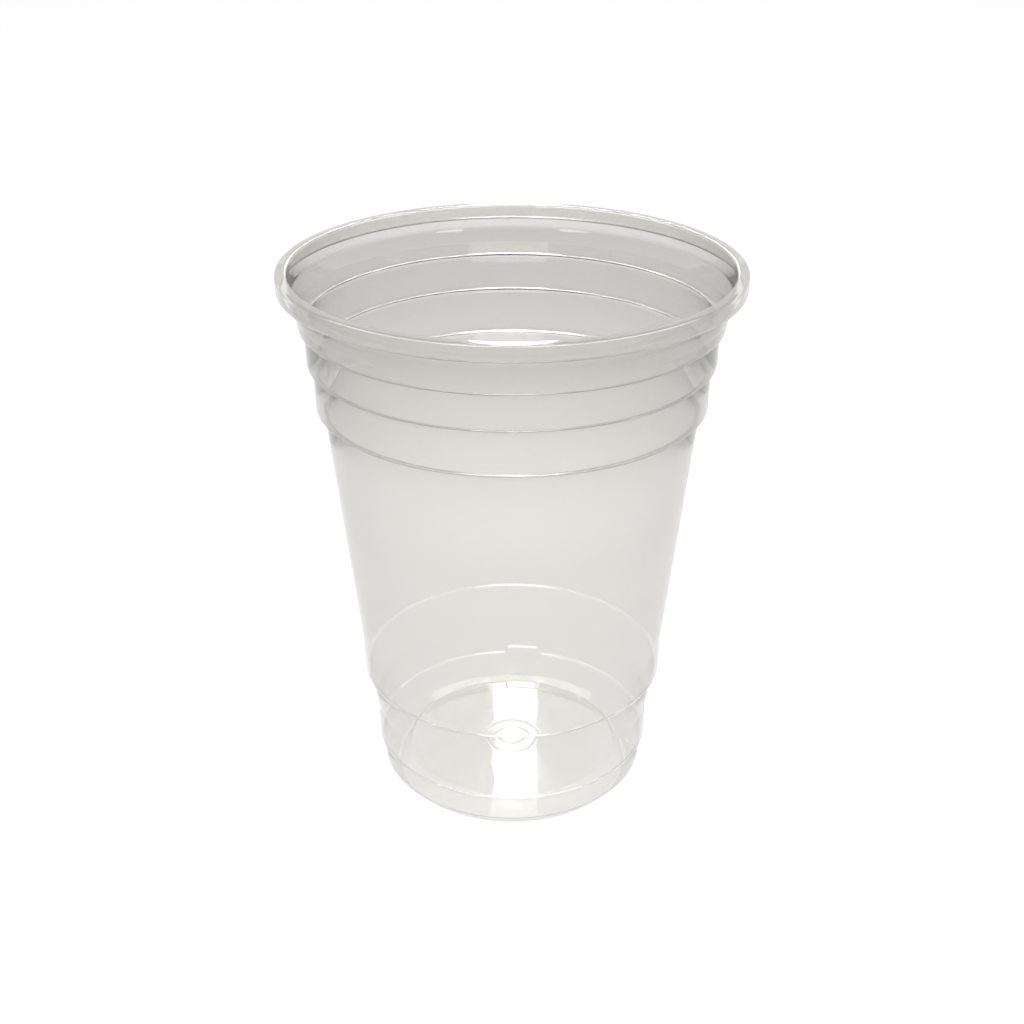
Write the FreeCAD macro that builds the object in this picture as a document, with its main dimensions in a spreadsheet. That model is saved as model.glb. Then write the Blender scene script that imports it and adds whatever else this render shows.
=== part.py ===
import FreeCAD, Part
import math
import os
import re

import Sketcher
from FreeCAD import Placement, Rotation, Vector

# A clear disposable drinks cup, thermoformed from one plastic sheet and curled over at the rim.
# Millimetres. The origin is the centre of the base on the resting plane, and +Z runs up the cup.
# The sheet is drawn once, as its outside line from the middle of the floor to the tip of the
# curled rim, and its other face lies one wall inside that line.

SIZES = {
    # The sheet
    "wall": 0.30,
    "ring_bend": 0.25,
    # Floor and foot
    "floor_lift": 4.50,
    "floor_radius": 24.30,
    "floor_bend": 0.60,
    "disc_radius": 6.90,
    "disc_drop": 0.20,
    "disc_slope_run": 0.35,
    "land_radius": 27.10,
    "land_width": 0.80,
    "land_bend": 0.35,
    "foot_chamfer_rise": 3.10,
    "foot_radius": 30.25,
    "foot_bend": 1.20,
    # Stacking band with its lugs
    "stack_ledge_level": 9.20,
    "stack_foot_radius": 30.60,
    "stack_ledge_width": 0.85,
    "stack_top_level": 18.00,
    "stack_top_radius": 31.60,
    # Lower body
    "lower_ring_level": 27.40,
    "lower_ring_radius": 33.30,
    "lower_ring_width": 0.85,
    "body_foot_level": 36.00,
    "body_foot_radius": 34.45,
    # The three rings under the rim
    "third_ring_level": 92.80,
    "third_ring_radius": 40.70,
    "third_ring_width": 1.40,
    "second_ring_level": 102.80,
    "second_ring_radius": 42.40,
    "second_ring_width": 1.10,
    "first_ring_level": 110.80,
    "first_ring_radius": 43.85,
    "first_ring_width": 1.00,
    # Neck and curled rim
    "neck_level": 113.80,
    "neck_radius": 45.45,
    "neck_bend": 1.50,
    "lip_level": 116.80,
    "rim_level": 122.30,
    "rim_radius": 49.00,
    "rim_width": 2.60,
    "rim_skirt": 3.70,
    "rim_top_bend": 0.90,
    "rim_skirt_bend": 0.70,
    "rim_tuck": 1.10,
    # Denest lug: the one place where the stacking ledge sits higher
    "lug_span": 15.70,
    "lug_turn": 84.70,
    "lug_rise": 1.60,
    # Plain mark on the floor: a ring with a dot
    "mark_height": 0.20,
    "mark_radius": 4.60,
    "mark_line": 0.60,
    "dot_radius": 0.90,
}

# The outside line of the sheet from the middle of the floor to the tip of the curl, corner by
# corner: radius, level, and the bend on the corner's hollow side. The bend on its other side is
# one wall larger. A corner with no bend is too slight to be rounded.
CORNERS = [
    ("0", "floor_lift - disc_drop", None),
    ("disc_radius - disc_slope_run", "floor_lift - disc_drop", None),
    ("disc_radius", "floor_lift", None),
    ("floor_radius", "floor_lift", "floor_bend"),
    ("land_radius - land_width / 2", "0", "land_bend"),
    ("land_radius + land_width / 2", "0", "land_bend"),
    ("foot_radius", "foot_chamfer_rise", "foot_bend"),
    ("stack_foot_radius", "stack_ledge_level", "ring_bend"),
    ("stack_foot_radius + stack_ledge_width", "stack_ledge_level", "ring_bend"),
    ("stack_top_radius", "stack_top_level", None),
    ("lower_ring_radius", "lower_ring_level", "ring_bend"),
    ("lower_ring_radius + lower_ring_width", "lower_ring_level", "ring_bend"),
    ("body_foot_radius", "body_foot_level", None),
    ("third_ring_radius", "third_ring_level", "ring_bend"),
    ("third_ring_radius + third_ring_width", "third_ring_level", "ring_bend"),
    ("second_ring_radius", "second_ring_level", "ring_bend"),
    ("second_ring_radius + second_ring_width", "second_ring_level", "ring_bend"),
    ("first_ring_radius", "first_ring_level", "ring_bend"),
    ("first_ring_radius + first_ring_width", "first_ring_level", "ring_bend"),
    ("neck_radius", "neck_level", "neck_bend"),
    ("rim_radius - rim_width + wall", "lip_level", "neck_bend"),
    ("rim_radius - rim_width + wall", "rim_level - wall", "rim_top_bend"),
    ("rim_radius - wall", "rim_level - wall", "rim_top_bend"),
    ("rim_radius - wall", "rim_level - rim_skirt + wall", "rim_skirt_bend"),
    ("rim_radius - wall - rim_tuck", "rim_level - rim_skirt + wall", None),
]

# How the two ends and the centre of a line or an arc are numbered
START, END, CENTRE = 1, 2, 3
# A section's own origin and axes. The origin is the start of the level axis.
ORIGIN, LEVEL, UPRIGHT = -1, -1, -2


def bound(formula):
    """A formula with the table of sizes named before each size."""
    return re.sub(r"[a-z]\w{2,}", lambda word: "sizes." + word.group(), formula)


def origin_feature(body, role):
    """One of a body's own middle planes."""
    return next(item for item in body.Origin.OriginFeatures if item.Role == role)


class Section:
    """A flat section whose dimensions follow formulas of the sizes."""

    def __init__(self, body, name, role, turn=None, lift=None):
        self.sketch = body.newObject("Sketcher::SketchObject", name)
        self.sketch.AttachmentSupport = [(origin_feature(body, role), "")]
        self.sketch.MapMode = "FlatFace"
        if turn:
            self.sketch.AttachmentOffset = Placement(Vector(), Rotation(Vector(0, 1, 0), 1))
            self.sketch.setExpression("AttachmentOffset.Rotation.Angle", bound(turn))
        if lift:
            self.sketch.setExpression("AttachmentOffset.Base.z", bound(lift))
        self.ties = []
        self.formulas = []

    def value(self, formula):
        return float(sizes.evalExpression(formula))

    def point(self, radius, level):
        return Vector(self.value(radius), self.value(level), 0)

    def draw(self, shape, construction=False):
        return self.sketch.addGeometry(shape, construction)

    def tie(self, *facts):
        """A geometric constraint."""
        self.ties.append(Sketcher.Constraint(*facts))
        self.formulas.append(None)

    def measure(self, kind, *facts, formula):
        """A dimension that follows a formula."""
        self.ties.append(Sketcher.Constraint(kind, *facts, self.value(formula)))
        self.formulas.append(formula)

    def close(self):
        """Adds the ties and dimensions together, so the section is solved once."""
        for index, formula in zip(self.sketch.addConstraint(self.ties), self.formulas):
            if formula:
                self.sketch.setExpression("Constraints[%d]" % index, bound(formula))

    def polygon(self, corners):
        """A closed outline through corners given as formulas of radius and level."""
        points = [self.point(radius, level) for radius, level in corners]
        sides = [self.draw(Part.LineSegment(a, b)) for a, b in zip(points, points[1:] + points[:1])]
        for side, following in zip(sides, sides[1:] + sides[:1]):
            self.tie("Coincident", side, END, following, START)
        for side, (radius, level) in zip(sides, corners):
            self.measure("DistanceX", side, START, formula=radius)
            self.measure("DistanceY", side, START, formula=level)
        self.close()

    def circle(self, radius):
        """A circle about the cup's axis."""
        ring = self.draw(Part.Circle(Vector(), Vector(0, 0, 1), self.value(radius)))
        self.tie("Coincident", ring, CENTRE, ORIGIN, START)
        self.measure("Radius", ring, formula=radius)


class Face:
    """One face of the sheet in the section: straight runs, with an arc at each rounded corner."""

    def __init__(self, points, radii):
        self.points = points
        self.radii = radii
        self.headings = [(b - a).normalize() for a, b in zip(points, points[1:])]
        self.runs = []
        self.arcs = {}

    def turn(self, corner):
        """The angle turned at a corner, positive to the left."""
        before, after = self.headings[corner - 1], self.headings[corner]
        return math.atan2(before.x * after.y - before.y * after.x, before.dot(after))

    def cut_back(self, corner):
        """How far the arc at a corner reaches along the runs that meet there."""
        if self.radii[corner] is None:
            return 0.0
        return self.radii[corner] * math.tan(abs(self.turn(corner)) / 2)

    def run(self, corner):
        """The straight run from one corner to the next."""
        along = self.headings[corner]
        start = self.points[corner] + along * self.cut_back(corner)
        end = self.points[corner + 1] - along * self.cut_back(corner + 1)
        return Part.LineSegment(start, end)

    def arc(self, corner):
        """The arc at a rounded corner, always counter-clockwise."""
        side = math.copysign(1, self.turn(corner))
        before, after = self.headings[corner - 1], self.headings[corner]
        entry = self.points[corner] - before * self.cut_back(corner)
        leave = self.points[corner] + after * self.cut_back(corner)
        centre = entry + left_of(before) * self.radii[corner] * side
        ends = (entry, leave) if side > 0 else (leave, entry)
        angles = [math.atan2(end.y - centre.y, end.x - centre.x) for end in ends]
        return Part.ArcOfCircle(Part.Circle(centre, Vector(0, 0, 1), self.radii[corner]), *angles)

    def draw(self, section):
        """Draws the face and joins its runs and arcs end to end."""
        last = len(self.points) - 1
        self.runs = [section.draw(self.run(corner)) for corner in range(last)]
        for corner in range(1, last):
            if self.radii[corner] is None:
                section.tie("Coincident", self.runs[corner - 1], END, self.runs[corner], START)
                continue
            arc = section.draw(self.arc(corner))
            entry, leave = (START, END) if self.turn(corner) > 0 else (END, START)
            section.tie("Tangent", self.runs[corner - 1], END, arc, entry)
            section.tie("Tangent", arc, leave, self.runs[corner], START)
            self.arcs[corner] = arc


def left_of(heading):
    """The direction one quarter turn to the left, which is towards the inside of the cup."""
    return Vector(-heading.y, heading.x, 0)


def inside_points(outside, wall):
    """The corners of the face that lies one wall to the left of another."""
    sides = [left_of(heading) for heading in outside.headings]
    points = [outside.points[0] + sides[0] * wall]
    for corner, (before, after) in enumerate(zip(sides, sides[1:]), start=1):
        points.append(outside.points[corner] + (before + after) * (wall / (1 + before.dot(after))))
    points.append(outside.points[-1] + sides[-1] * wall)
    return points


def draw_sheet(section):
    """The cup's whole section: both faces of the sheet, one wall apart."""
    bends = [bend for radius, level, bend in CORNERS]
    points = [section.point(radius, level) for radius, level, bend in CORNERS]
    outside = Face(points, [None] * len(points))
    # The face on the hollow side of a corner has the corner's own bend
    outer_bends = [bend and (bend + " + wall" if outside.turn(corner) > 0 else bend)
                   for corner, bend in enumerate(bends)]
    inner_bends = [bend and (bend if outside.turn(corner) > 0 else bend + " + wall")
                   for corner, bend in enumerate(bends)]
    outside.radii = [bend and section.value(bend) for bend in outer_bends]
    inside = Face(inside_points(outside, section.value("wall")),
                  [bend and section.value(bend) for bend in inner_bends])
    outside.draw(section)
    inside.draw(section)

    # The outside face goes through its corners
    last = len(CORNERS) - 1
    for corner, (radius, level, bend) in enumerate(CORNERS):
        if bend:
            mark = section.draw(Part.Point(points[corner]), True)
            section.tie("PointOnObject", mark, START, outside.runs[corner - 1])
            section.tie("PointOnObject", mark, START, outside.runs[corner])
            place = (mark, START)
            section.measure("Radius", outside.arcs[corner], formula=outer_bends[corner])
        elif corner < last:
            place = (outside.runs[corner], START)
        else:
            place = (outside.runs[-1], END)
        if radius == "0":
            section.tie("PointOnObject", *place, UPRIGHT)
        else:
            section.measure("DistanceX", *place, formula=radius)
        if level == "0":
            section.tie("PointOnObject", *place, LEVEL)
        else:
            section.measure("DistanceY", *place, formula=level)

    # The inside face keeps one wall from it
    for corner, arc in inside.arcs.items():
        section.tie("Coincident", arc, CENTRE, outside.arcs[corner], CENTRE)
        section.measure("Radius", arc, formula=inner_bends[corner])
    for corner in range(last):
        rounded = [end for end in (corner, corner + 1) if end in inside.arcs]
        if len(rounded) < 2:
            section.tie("Parallel", inside.runs[corner], outside.runs[corner])
        if not rounded:
            section.measure("Distance", inside.runs[corner], START, outside.runs[corner], formula="wall")

    # The section closes on the axis and at the tip of the curl
    axis_end = section.draw(Part.LineSegment(inside.points[0], outside.points[0]))
    section.tie("Coincident", axis_end, START, inside.runs[0], START)
    section.tie("Coincident", axis_end, END, outside.runs[0], START)
    section.tie("Vertical", axis_end)
    tip = section.draw(Part.LineSegment(outside.points[-1], inside.points[-1]))
    section.tie("Coincident", tip, START, outside.runs[-1], END)
    section.tie("Coincident", tip, END, inside.runs[-1], END)
    section.tie("Vertical", tip)
    section.close()


def revolve(kind, name, section, angle=None):
    """A solid turned about the cup's axis, or cut from it. A part turn is centred on its section."""
    feature = cup.newObject(kind, name)
    feature.Profile = section.sketch
    feature.ReferenceAxis = (section.sketch, ["V_Axis"])
    if angle:
        feature.Midplane = True
        feature.setExpression("Angle", bound(angle))
    else:
        feature.Angle = 360
    section.sketch.Visibility = False
    doc.recompute()
    return feature


doc = FreeCAD.newDocument("disposable_cup")

# The sizes
sizes = doc.addObject("Spreadsheet::Sheet", "sizes")
for row, (name, size) in enumerate(SIZES.items(), start=1):
    sizes.set("A%d" % row, name)
    sizes.set("B%d" % row, str(size))
    sizes.setAlias("B%d" % row, name)
doc.recompute()

cup = doc.addObject("PartDesign::Body", "cup")
cup.Label = "cup"

# The formed sheet, with the seam of its surfaces across from the lug
sheet_section = Section(cup, "sheet_section", "XZ_Plane", turn="lug_turn + 180")
draw_sheet(sheet_section)
revolve("PartDesign::Revolution", "formed_sheet", sheet_section)

# The denest lug: in its sector the foot's wall goes on up to a higher ledge, with the old ledge
# and the band above it cut away from outside
LUG_LEVEL = "stack_ledge_level + lug_rise"
BAND_RADIUS = "stack_foot_radius + stack_ledge_width"
lug_section = Section(cup, "lug_section", "XZ_Plane", turn="lug_turn")
lug_section.polygon([
    ("stack_foot_radius - wall", "stack_ledge_level - ring_bend"),
    ("stack_foot_radius - wall / 2", "stack_ledge_level - ring_bend"),
    ("stack_foot_radius - wall / 2", "stack_ledge_level + wall / 2"),
    (BAND_RADIUS + " - wall / 2", "stack_ledge_level + wall / 2"),
    (BAND_RADIUS + " - wall / 2", LUG_LEVEL + " + wall"),
    ("stack_foot_radius - wall", LUG_LEVEL + " + wall"),
])
revolve("PartDesign::Revolution", "lug_wall", lug_section, angle="lug_span")

hollow_section = Section(cup, "lug_hollow_section", "XZ_Plane", turn="lug_turn")
hollow_section.polygon([
    ("stack_foot_radius", "stack_ledge_level - ring_bend - wall"),
    ("stack_top_radius + wall", "stack_ledge_level - ring_bend - wall"),
    ("stack_top_radius + wall", LUG_LEVEL),
    ("stack_foot_radius", LUG_LEVEL),
])
HOLLOW_SPAN = "lug_span - 2 * wall / stack_foot_radius * 180 / pi"
revolve("PartDesign::Groove", "lug_hollow", hollow_section, angle=HOLLOW_SPAN)

# A plain raised ring with a dot in the middle of the floor
mark_section = Section(cup, "mark_section", "XY_Plane", lift="floor_lift - disc_drop + wall")
for radius in ("mark_radius", "mark_radius - mark_line", "dot_radius"):
    mark_section.circle(radius)
mark_section.close()
mark = cup.newObject("PartDesign::Pad", "floor_mark")
mark.Profile = mark_section.sketch
mark.setExpression("Length", bound("mark_height"))
cup.Tip = mark
doc.recompute()

for item in doc.Objects:
    faults = {"Invalid", "Error"} & set(item.State)
    if faults:
        raise RuntimeError("%s: %s" % (item.Name, ", ".join(sorted(faults))))
if cup.Shape.isNull() or not cup.Shape.isValid() or len(cup.Shape.Solids) != 1:
    raise RuntimeError("the cup isn't one valid solid")

os.makedirs("parts", exist_ok=True)
cup.Shape.exportStep("parts/%s.step" % cup.Label)
extent = cup.Shape.optimalBoundingBox()
print("cup: %.0f cubic mm, %.1f high, %.1f across" % (
    cup.Shape.Volume, extent.ZLength, extent.XLength))
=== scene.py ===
import math

import bpy
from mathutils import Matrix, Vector


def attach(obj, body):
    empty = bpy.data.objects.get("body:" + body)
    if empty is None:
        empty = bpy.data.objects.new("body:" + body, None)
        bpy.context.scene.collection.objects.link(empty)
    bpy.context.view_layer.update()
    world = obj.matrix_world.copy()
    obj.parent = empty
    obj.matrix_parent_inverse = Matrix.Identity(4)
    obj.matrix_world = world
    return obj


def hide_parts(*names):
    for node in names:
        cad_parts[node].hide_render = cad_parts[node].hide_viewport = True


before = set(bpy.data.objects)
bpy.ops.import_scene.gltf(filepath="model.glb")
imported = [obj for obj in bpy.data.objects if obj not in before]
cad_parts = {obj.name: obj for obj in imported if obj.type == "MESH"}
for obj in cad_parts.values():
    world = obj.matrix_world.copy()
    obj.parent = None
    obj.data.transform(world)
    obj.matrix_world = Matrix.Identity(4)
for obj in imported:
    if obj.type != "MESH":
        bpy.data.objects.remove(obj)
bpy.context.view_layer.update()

# The cup's sizes are in millimetres, and MM turns them into metres. A level is a height
# above the table, and a turn is an azimuth in degrees from +X, with +Y at the back.
MM = 0.001

# Levels of the ledges: the stacking band's, the lower ring's and those of the three upper
# rings, which are counted from the top
STACK_LEDGE_LEVEL = 9.2
LOWER_RING_LEVEL = 27.4
THIRD_RING_LEVEL = 92.8
SECOND_RING_LEVEL = 102.8
FIRST_RING_LEVEL = 110.8
LEDGE_LEVELS = (STACK_LEDGE_LEVEL, LOWER_RING_LEVEL, THIRD_RING_LEVEL, SECOND_RING_LEVEL, FIRST_RING_LEVEL)

# Bends of the sheet, on their hollow side
RING_BEND = 0.06
LEDGE_BEND = 0.15

# Rim, over its outer faces
RIM_LEVEL = 122.3
RIM_RADIUS = 49.0
RIM_WIDTH = 2.6
RIM_SKIRT = 3.7
RIM_TUCK = 1.1
RIM_TUCK_DROP = 0.14
RIM_WALL = 0.19

# The same rim on the hollow face of its sheet
LIP_RADIUS = RIM_RADIUS - RIM_WIDTH + RIM_WALL
CURL_RADIUS = RIM_RADIUS - RIM_WALL
CURL_TOP = RIM_LEVEL - RIM_WALL
CURL_FOOT = RIM_LEVEL - RIM_SKIRT + RIM_WALL

# The one lug, which lifts the ledge of the stacking band and stretches the sheet around it
STACK_FOOT_RADIUS = 30.6
LUG_TURN = 84.7
LUG_SPAN = 15.7
LUG_EDGE = 1.1
LUG_RISE = 1.6
LUG_DEPTH = 1.5
STRETCH_BELOW = 4.5
STRETCH_ABOVE = 5.5

# The outside line of the section, from the middle of the floor to the tip of the curl:
# radius, level and bend. The three upper ledges rise a little outwards.
OUTLINE = [
    (0.0, 4.3, None),
    (6.55, 4.3, None),
    (6.9, 4.5, None),
    (24.3, 4.5, 0.25),
    (26.7, 0.0, 0.35),
    (27.5, 0.0, 0.35),
    (30.25, 3.1, 1.2),
    (STACK_FOOT_RADIUS, STACK_LEDGE_LEVEL, LEDGE_BEND),
    (31.45, STACK_LEDGE_LEVEL, LEDGE_BEND),
    (31.6, 18.0, None),
    (33.3, LOWER_RING_LEVEL, LEDGE_BEND),
    (34.15, LOWER_RING_LEVEL, LEDGE_BEND),
    (34.45, 36.0, None),
    (40.55, THIRD_RING_LEVEL, RING_BEND),
    (42.1, THIRD_RING_LEVEL + 0.1, RING_BEND),
    (42.28, SECOND_RING_LEVEL, RING_BEND),
    (43.5, SECOND_RING_LEVEL + 0.08, RING_BEND),
    (43.72, FIRST_RING_LEVEL, RING_BEND),
    (44.85, FIRST_RING_LEVEL + 0.07, RING_BEND),
    (45.45, 113.8, 1.5),
    (LIP_RADIUS, 116.8, 1.5),
    (LIP_RADIUS, CURL_TOP, 0.45),
    (CURL_RADIUS, CURL_TOP, 0.45),
    (CURL_RADIUS, CURL_FOOT + RIM_TUCK_DROP, 0.3),
    (CURL_RADIUS - RIM_TUCK, CURL_FOOT, None),
]

# Thickness of the formed wall by level, up to the curl. Its rise towards the top deepens the tint there:
# partly the sheet's real thickness, partly painted shade on the upper band and the mouth
THICKNESS = [
    (0.0, 0.13),
    (9.0, 0.13),
    (18.0, 0.14),
    (36.0, 0.14),
    (60.0, 0.15),
    (80.0, 0.19),
    (94.0, 0.28),
    (105.0, 0.34),
    (112.0, 0.36),
    (116.5, 0.40),
    (118.4, RIM_WALL),
]

# The sheet is stretched thin at the sharp ledges, by a share that fades over a short run
# and ends at a distance from the ledge
LEDGE_THINNING = 0.25
THINNING_END = 0.5
THINNING_RUN = 0.35

# The upper part of the sheet is drawn thicker at the back of the cup and thinner at the front, so that its
# tint paints shade on the back wall seen in the mouth and paints the front band lighter
BACK_SHADE_THICKENING = 0.35
BACK_SHADE_FROM = 62.0
BACK_SHADE_FULL = 84.0
BACK_SHADE_END = 118.0
BACK_SHADE_FADE = 2.0

# The floor is thin, and the riser between it and the standing land is drawn the thinnest, so that the tint
# leaves the base and the crescent at the back of the floor painted lighter
FLOOR_WALL = 0.09
RISER_WALL = 0.03
RISER_TOP_RADIUS = 24.2
RISER_TOP_LEVEL = 4.3
RISER_FOOT_RADIUS = 27.4

# The plain mark on the floor: a ring with a dot
MARK_RADIUS = 4.6
MARK_LINE = 0.6
MARK_SHOULDER = 0.3
MARK_HEIGHT = 0.05
DOT_RADIUS = 0.9

# Steps of the mesh along the section, and the radii of its rows on the flat floor by the mark
ARC_STEP = math.radians(13)
RUN_STEP = 7.0
EDGE_STEPS = (0.15, 0.5)
SHORT_RUN = 2.0
CLOSEST = 0.02
MARK_STEPS = 4
FLAT_ROWS = (0.45, 2.0, 3.2)

# Steps of the mesh round the axis
COLUMNS = 192
LUG_EDGE_STEPS = 6
LUG_EDGE_REACH = LUG_EDGE * 0.7
COLUMN_GAP = 0.1
TURN_DIGITS = 4

# Clear plastic, slightly hazy, with a tint that grows with the thickness
PLASTIC_COLOUR = (0.985, 0.985, 0.97, 1)
PLASTIC_CLEARNESS = 0.92
PLASTIC_IOR = 1.57
HAZE_SCALE = 60
HAZE_DETAIL = 3
HAZE_LOW = 0.3
HAZE_HIGH = 0.7
SMOOTHEST = 0.012
ROUGHEST = 0.03
RIPPLE = 0.02
RIPPLE_HEIGHT = 0.001
TINT = (0.08, 0.05, 0.0, 1)
TINT_DENSITY = 1400

# The floor, in metres: it looks white, with a little of its own shading for the shadow
FLOOR_REACH = 4.0
FLOOR_SHADING = (0.09, 0.09, 0.09, 1)
FLOOR_GLOW = (0.92, 0.92, 0.92, 1)
FLOOR_COLOUR = (0.85, 0.85, 0.85, 1)

# The room: white up to one elevation, in degrees, and dimmer from another on
WHITE = (1, 1, 1, 1)
ROOM_WHITE_BELOW = 12
ROOM_DIM_ABOVE = 40
ROOM_WHITE = 1.0
ROOM_DIM = 0.66
ROOM_LIGHT = 0.3

# Lamps, in degrees and metres: name, azimuth, elevation, distance, width, height, radiance
# and whether the cup mirrors it
LAMPS = [
    ("strip", 89.83, 31, 1.3, 0.048, 0.46, 26.0, True),
    ("strip_foot", 89.9, 20.5, 1.3, 0.08, 0.17, 10.0, True),
    ("soft_front", 268, 54, 1.4, 1.1, 0.6, 4.8, True),
    ("soft_left", 202, 46, 1.4, 1.7, 0.54, 4.4, True),
    ("soft_right", 338, 46, 1.4, 1.7, 0.54, 4.4, True),
    ("soft_low", 272, 10, 2.0, 1.6, 0.6, 3.0, False),
]
LAMP_TARGET = Vector((0, 0, 0.05))

# Camera, with its place in metres and its lens and sensor in millimetres
CAMERA_PLACE = (0, -0.3075, 0.2173)
CAMERA_TILT = 63.62
CAMERA_LENS = 53.82
CAMERA_SENSOR = 36

# Light passes through many thin faces in a row
CLEAR_BOUNCES = 24
GLOSSY_BOUNCES = 12
SHADOW_BOUNCES = 32


def blend(share):
    """A smooth step: 0 up to a share of 0, and 1 from a share of 1 on."""
    share = min(max(share, 0.0), 1.0)
    return share * share * (3 - 2 * share)


def thickness(level):
    """Mean thickness of the wall at a level, less at the ledges."""
    wall = RIM_WALL
    for (low, thin), (high, thick) in zip(THICKNESS, THICKNESS[1:]):
        if level <= high:
            wall = thin + (thick - thin) * blend((level - low) / (high - low))
            break
    nearest = min(abs(level - ledge) for ledge in LEDGE_LEVELS)
    return wall * (1 - LEDGE_THINNING * blend((THINNING_END - nearest) / THINNING_RUN))


def wall_at(point):
    """Mean thickness at a point of the section, the floor and its riser included."""
    # the thin floor and the thinnest riser paint the base lighter through the tint
    if point.x < RISER_TOP_RADIUS:
        return FLOOR_WALL
    if point.x < RISER_FOOT_RADIUS and point.y < RISER_TOP_LEVEL:
        return RISER_WALL
    return thickness(point.y)


def back_shade_share(level, turn):
    """Thickness at a turn as a share of the mean one: more at the back, for painted shade in the mouth,
    and less at the front, for a painted lighter front band.
    """
    share = blend((level - BACK_SHADE_FROM) / (BACK_SHADE_FULL - BACK_SHADE_FROM))
    share *= blend((BACK_SHADE_END - level) / BACK_SHADE_FADE)
    return 1 + BACK_SHADE_THICKENING * share * math.sin(math.radians(turn))


def left_of(heading):
    """The direction a quarter turn to the left of a heading."""
    return Vector((-heading.y, heading.x))


def turn_between(before, after):
    """Angle from one heading to the next, positive to the left."""
    return math.atan2(before.x * after.y - before.y * after.x, before.dot(after))


def run_marks(length):
    """Distances of the points along a straight run, closer together at its ends."""
    edges = EDGE_STEPS if length > SHORT_RUN else (length / 3,)
    inner = length - 2 * edges[-1]
    count = max(1, math.ceil(inner / RUN_STEP))
    marks = [0.0, *edges]
    marks += [edges[-1] + inner * k / count for k in range(1, count)]
    marks += [length - edge for edge in reversed(edges)]
    marks.append(length)
    return marks


def arc_points(start, side, radius, angle):
    """Points of a bend between its two ends, each with its direction inwards."""
    sign = math.copysign(1, angle)
    centre = start + side * radius * sign
    steps = max(2, math.ceil(abs(angle) / ARC_STEP))
    points = []
    for k in range(1, steps):
        part = angle * k / steps
        turned = Vector((side.x * math.cos(part) - side.y * math.sin(part),
                         side.x * math.sin(part) + side.y * math.cos(part)))
        points.append((centre - turned * radius * sign, turned))
    return points


def without_doubles(line):
    """The points of a line that aren't on top of the one before."""
    clean = [line[0]]
    for point, side in line[1:]:
        if (point - clean[-1][0]).length > CLOSEST:
            clean.append((point, side))
    return clean


def section_line():
    """Points of the outside line with its bends, each with its direction inwards."""
    corners = [Vector((radius, level)) for radius, level, bend in OUTLINE]
    headings = [(end - start).normalized() for start, end in zip(corners, corners[1:])]
    angles = [0.0] * len(corners)
    radii = [0.0] * len(corners)
    cuts = [0.0] * len(corners)
    for i in range(1, len(headings)):
        angles[i] = turn_between(headings[i - 1], headings[i])
        bend = OUTLINE[i][2]
        if bend:
            # where the hollow side is the inside, the outside line is a wall further out
            radii[i] = bend + (thickness(corners[i].y) if angles[i] > 0 else 0.0)
            cuts[i] = radii[i] * math.tan(abs(angles[i]) / 2)
    line = []
    for i, along in enumerate(headings):
        start = corners[i] + along * cuts[i]
        end = corners[i + 1] - along * cuts[i + 1]
        side = left_of(along)
        line += [(start + along * mark, side) for mark in run_marks((end - start).length)]
        if radii[i + 1]:
            line += arc_points(end, side, radii[i + 1], angles[i + 1])
        elif i + 1 < len(headings):
            # a slight corner is one point that faces midway
            middle = (side + left_of(headings[i + 1])).normalized()
            line[-1] = (corners[i + 1], middle)
    return without_doubles(line)


def mark_rise(radius):
    """How far the plain mark stands up from the floor."""
    outer = blend((MARK_RADIUS - radius) / MARK_SHOULDER)
    inner = blend((radius - (MARK_RADIUS - MARK_LINE)) / MARK_SHOULDER)
    dot = blend((DOT_RADIUS - radius) / MARK_SHOULDER)
    return MARK_HEIGHT * max(outer * inner, dot)


def marked_floor(level):
    """Points of the floor's inner face out to the mark, with steps over its shoulders."""
    radii = set(FLAT_ROWS)
    for edge in (DOT_RADIUS, MARK_RADIUS, MARK_RADIUS - MARK_LINE + MARK_SHOULDER):
        radii |= {edge - MARK_SHOULDER * k / MARK_STEPS for k in range(-1, MARK_STEPS + 2)}
    return [Vector((radius, level + mark_rise(radius))) for radius in sorted(radii)]


def closed_section():
    """Points up the outside and back down the inside, each with its step through the sheet."""
    line = section_line()
    still = Vector((0, 0))
    outer = [(point, still) for point, side in line if point.x > 0]
    inner = [(point, still) for point in marked_floor(line[0][0].y + FLOOR_WALL)]
    for point, side in line:
        if point.x > MARK_RADIUS + MARK_SHOULDER:
            inner.append((point, side * wall_at(point)))
    return outer + inner[::-1]


def turns_apart(first, second):
    """Angle between two turns, the short way round."""
    return abs((first - second + 180) % 360 - 180)


def lug_share(turn):
    """1 on the lug and 0 away from it, with a smooth edge on each side."""
    off = turns_apart(turn, LUG_TURN)
    return blend((LUG_SPAN / 2 + LUG_EDGE / 2 - off) / LUG_EDGE)


def column_turns():
    """Turns of the mesh's columns, closer together at the two edges of the lug."""
    turns = {round(360 * k / COLUMNS, TURN_DIGITS) for k in range(COLUMNS)}
    for side in (-1, 1):
        edge = LUG_TURN + side * LUG_SPAN / 2
        turns = {turn for turn in turns if turns_apart(turn, edge) > LUG_EDGE_REACH + COLUMN_GAP}
        for k in range(LUG_EDGE_STEPS + 1):
            turn = edge + LUG_EDGE_REACH * (2 * k / LUG_EDGE_STEPS - 1)
            turns.add(round(turn % 360, TURN_DIGITS))
    return sorted(turns)


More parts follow.
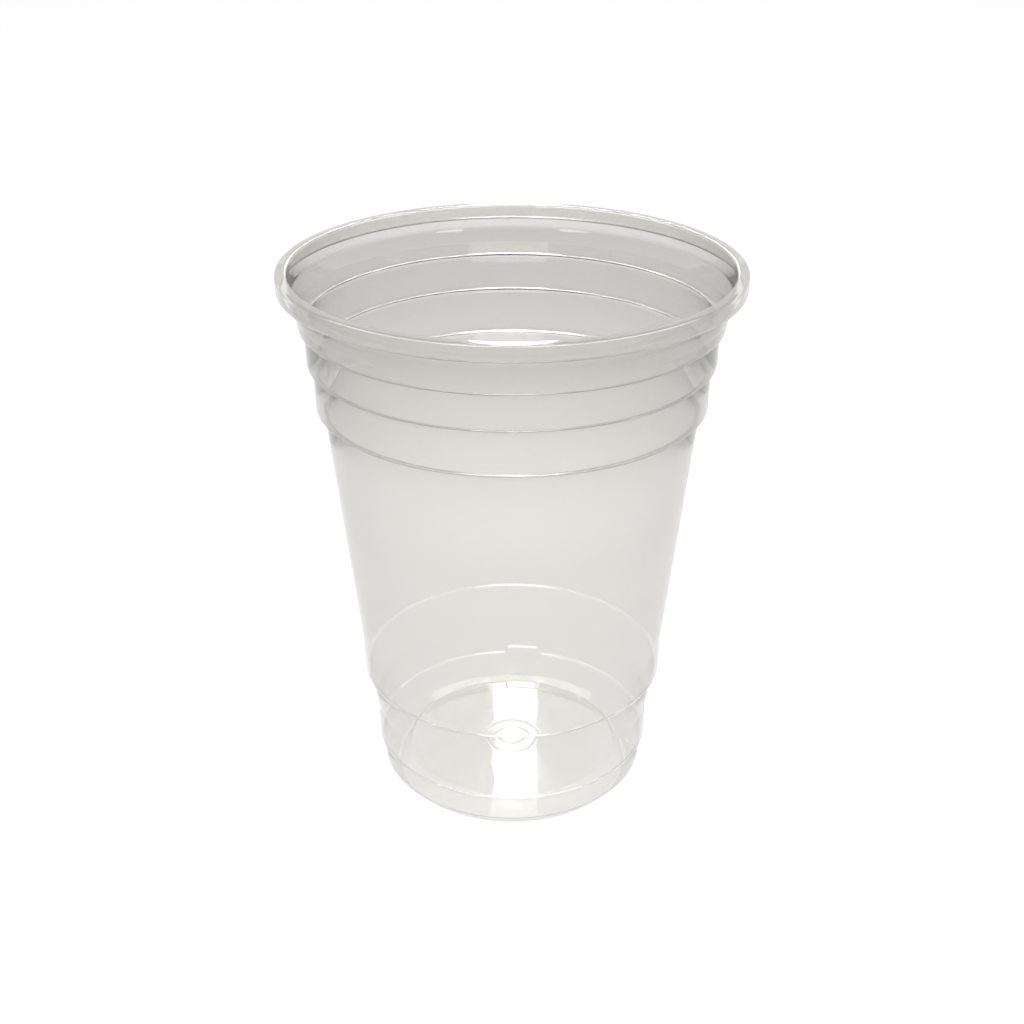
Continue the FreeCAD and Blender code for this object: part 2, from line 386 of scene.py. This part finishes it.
def place(radius, level, turn):
    """Where a point of the section lies at a turn, in metres, lifted by the lug."""
    if level < STACK_LEDGE_LEVEL:
        share = blend((level - (STACK_LEDGE_LEVEL - STRETCH_BELOW)) / STRETCH_BELOW)
    else:
        share = blend((STACK_LEDGE_LEVEL + STRETCH_ABOVE - level) / STRETCH_ABOVE)
    if radius > STACK_FOOT_RADIUS - LUG_DEPTH:
        level += LUG_RISE * share * lug_share(turn)
    angle = math.radians(turn)
    return (radius * math.cos(angle) * MM, radius * math.sin(angle) * MM, level * MM)


def add_object(name, data):
    """A new object in the scene."""
    new = bpy.data.objects.new(name, data)
    bpy.context.collection.objects.link(new)
    return new


def make_cup():
    """The cup as one closed sheet, its section carried round the axis."""
    section = closed_section()
    turns = column_turns()
    verts = []
    for point, wall in section:
        for turn in turns:
            # the wall's thickness here carries the painted shade of the back wall and the painted lighter
            # front band
            moved = point + wall * back_shade_share(point.y, turn)
            verts.append(place(moved.x, moved.y, turn))
    # both faces of the floor close on the axis
    under = len(verts)
    verts.append((0, 0, section[0][0].y * MM))
    top = len(verts)
    verts.append((0, 0, section[-1][0].y * MM))
    width = len(turns)
    faces = []
    for row in range(len(section) - 1):
        for column in range(width):
            here = row * width + column
            beside = row * width + (column + 1) % width
            faces.append((here, beside, beside + width, here + width))
    innermost = (len(section) - 1) * width
    for column in range(width):
        beside = (column + 1) % width
        faces.append((under, beside, column))
        faces.append((top, innermost + column, innermost + beside))
    mesh = bpy.data.meshes.new("formed_cup")
    mesh.from_pydata(verts, [], faces)
    mesh.validate()
    mesh.update()
    for polygon in mesh.polygons:
        polygon.use_smooth = True
    return add_object("formed_cup", mesh)


def empty_tree(owner):
    """The node tree of a material or world, with nothing in it."""
    owner.use_nodes = True
    owner.node_tree.nodes.clear()
    return owner.node_tree


def ray_is(tree, *kinds):
    """1 for rays of any of these kinds, and 0 for others."""
    path = tree.nodes.new("ShaderNodeLightPath")
    total = path.outputs[kinds[0]]
    for kind in kinds[1:]:
        larger = tree.nodes.new("ShaderNodeMath")
        larger.operation = "MAXIMUM"
        tree.links.new(total, larger.inputs[0])
        tree.links.new(path.outputs[kind], larger.inputs[1])
        total = larger.outputs[0]
    return total


def mixed(tree, factor, first, second):
    """A mix of two shaders, the second where the factor is 1."""
    mix = tree.nodes.new("ShaderNodeMixShader")
    tree.links.new(factor, mix.inputs["Fac"])
    tree.links.new(first.outputs[0], mix.inputs[1])
    tree.links.new(second.outputs[0], mix.inputs[2])
    return mix.outputs[0]


def coloured(tree, kind, colour):
    """A shader node of a kind with its colour set."""
    shader = tree.nodes.new(kind)
    shader.inputs["Color"].default_value = colour
    return shader


def clear_plastic():
    """Clear glossy plastic that lets shadow rays and soft light straight through."""
    mat = bpy.data.materials.new("clear_plastic")
    tree = empty_tree(mat)
    nodes, links = tree.nodes, tree.links
    out = nodes.new("ShaderNodeOutputMaterial")
    plastic = nodes.new("ShaderNodeBsdfPrincipled")
    plastic.inputs["Base Color"].default_value = PLASTIC_COLOUR
    plastic.inputs["Transmission Weight"].default_value = PLASTIC_CLEARNESS
    plastic.inputs["IOR"].default_value = PLASTIC_IOR
    coords = nodes.new("ShaderNodeTexCoord")
    noise = nodes.new("ShaderNodeTexNoise")
    noise.inputs["Scale"].default_value = HAZE_SCALE
    noise.inputs["Detail"].default_value = HAZE_DETAIL
    links.new(coords.outputs["Object"], noise.inputs["Vector"])
    haze = nodes.new("ShaderNodeMapRange")
    haze.inputs["From Min"].default_value = HAZE_LOW
    haze.inputs["From Max"].default_value = HAZE_HIGH
    haze.inputs["To Min"].default_value = SMOOTHEST
    haze.inputs["To Max"].default_value = ROUGHEST
    links.new(noise.outputs["Fac"], haze.inputs["Value"])
    links.new(haze.outputs["Result"], plastic.inputs["Roughness"])
    ripple = nodes.new("ShaderNodeBump")
    ripple.inputs["Strength"].default_value = RIPPLE
    ripple.inputs["Distance"].default_value = RIPPLE_HEIGHT
    links.new(noise.outputs["Fac"], ripple.inputs["Height"])
    links.new(ripple.outputs["Normal"], plastic.inputs["Normal"])
    passing = ray_is(tree, "Is Shadow Ray", "Is Diffuse Ray")
    surface = mixed(tree, passing, plastic, nodes.new("ShaderNodeBsdfTransparent"))
    links.new(surface, out.inputs["Surface"])
    # the tint is the plastic's own colour, and through the thicker upper and back wall it is also painted
    # shade
    tint = coloured(tree, "ShaderNodeVolumeAbsorption", TINT)
    tint.inputs["Density"].default_value = TINT_DENSITY
    links.new(tint.outputs[0], out.inputs["Volume"])
    return mat


def seen(tree):
    """1 for rays that see the stage, straight, mirrored or through the cup."""
    return ray_is(tree, "Is Camera Ray", "Is Glossy Ray", "Is Transmission Ray")


def stage_material():
    """A floor that looks white, keeps the shadow and lights the cup as plain pale paper does."""
    mat = bpy.data.materials.new("stage_white")
    tree = empty_tree(mat)
    out = tree.nodes.new("ShaderNodeOutputMaterial")
    shading = coloured(tree, "ShaderNodeBsdfDiffuse", FLOOR_SHADING)
    glow = coloured(tree, "ShaderNodeEmission", FLOOR_GLOW)
    white = tree.nodes.new("ShaderNodeAddShader")
    tree.links.new(shading.outputs[0], white.inputs[0])
    tree.links.new(glow.outputs[0], white.inputs[1])
    plain = coloured(tree, "ShaderNodeBsdfDiffuse", FLOOR_COLOUR)
    tree.links.new(mixed(tree, seen(tree), plain, white), out.inputs["Surface"])
    return mat


def make_stage():
    """The floor that the cup stands on."""
    corners = [(-1, -1), (1, -1), (1, 1), (-1, 1)]
    mesh = bpy.data.meshes.new("floor")
    mesh.from_pydata([(x * FLOOR_REACH, y * FLOOR_REACH, 0) for x, y in corners], [], [(0, 1, 2, 3)])
    mesh.materials.append(stage_material())
    floor = add_object("floor", mesh)


def make_world():
    """A white room that is dimmer overhead, with a plain soft light of its own."""
    world = bpy.data.worlds.new("studio")
    bpy.context.scene.world = world
    tree = empty_tree(world)
    nodes, links = tree.nodes, tree.links
    out = nodes.new("ShaderNodeOutputWorld")
    coords = nodes.new("ShaderNodeTexCoord")
    split = nodes.new("ShaderNodeSeparateXYZ")
    links.new(coords.outputs["Generated"], split.inputs[0])
    brightness = nodes.new("ShaderNodeMapRange")
    brightness.interpolation_type = "SMOOTHSTEP"
    brightness.inputs["From Min"].default_value = math.sin(math.radians(ROOM_WHITE_BELOW))
    brightness.inputs["From Max"].default_value = math.sin(math.radians(ROOM_DIM_ABOVE))
    brightness.inputs["To Min"].default_value = ROOM_WHITE
    brightness.inputs["To Max"].default_value = ROOM_DIM
    links.new(split.outputs["Z"], brightness.inputs["Value"])
    room = coloured(tree, "ShaderNodeBackground", WHITE)
    links.new(brightness.outputs["Result"], room.inputs["Strength"])
    plain = coloured(tree, "ShaderNodeBackground", WHITE)
    plain.inputs["Strength"].default_value = ROOM_LIGHT
    links.new(mixed(tree, seen(tree), plain, room), out.inputs["Surface"])


def area_lamp(name, azimuth, elevation, distance, width, height, radiance, mirrored):
    """A lamp that faces the cup, placed by its azimuth from +X and its elevation."""
    data = bpy.data.lights.new(name, "AREA")
    data.shape = "RECTANGLE"
    data.size = width
    data.size_y = height
    data.energy = radiance * math.pi * width * height
    around = math.radians(azimuth)
    up = math.radians(elevation)
    away = Vector((math.cos(around) * math.cos(up), math.sin(around) * math.cos(up), math.sin(up)))
    lamp = add_object(name, data)
    lamp.location = LAMP_TARGET + away * distance
    lamp.rotation_euler = away.to_track_quat("Z", "Y").to_euler()
    lamp.visible_camera = False
    lamp.visible_glossy = mirrored


def make_camera():
    """The camera, in front of the cup and looking down into it."""
    data = bpy.data.cameras.new("camera")
    data.lens = CAMERA_LENS
    data.sensor_width = CAMERA_SENSOR
    camera = add_object("camera", data)
    camera.location = CAMERA_PLACE
    camera.rotation_euler = (math.radians(CAMERA_TILT), 0, 0)
    bpy.context.scene.camera = camera


def set_rendering():
    """Plain colours, and enough bounces for the clear sheet."""
    scene = bpy.context.scene
    scene.view_settings.view_transform = "Standard"
    cycles = scene.cycles
    cycles.max_bounces = CLEAR_BOUNCES
    cycles.transmission_bounces = CLEAR_BOUNCES
    cycles.glossy_bounces = GLOSSY_BOUNCES
    cycles.transparent_max_bounces = SHADOW_BOUNCES
    cycles.caustics_reflective = False
    cycles.caustics_refractive = False


make_camera()
set_rendering()
cup = make_cup()
cup.data.materials.append(clear_plastic())
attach(cup, "root")
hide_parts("cup")
make_stage()
make_world()
for lamp_values in LAMPS:
    area_lamp(*lamp_values)
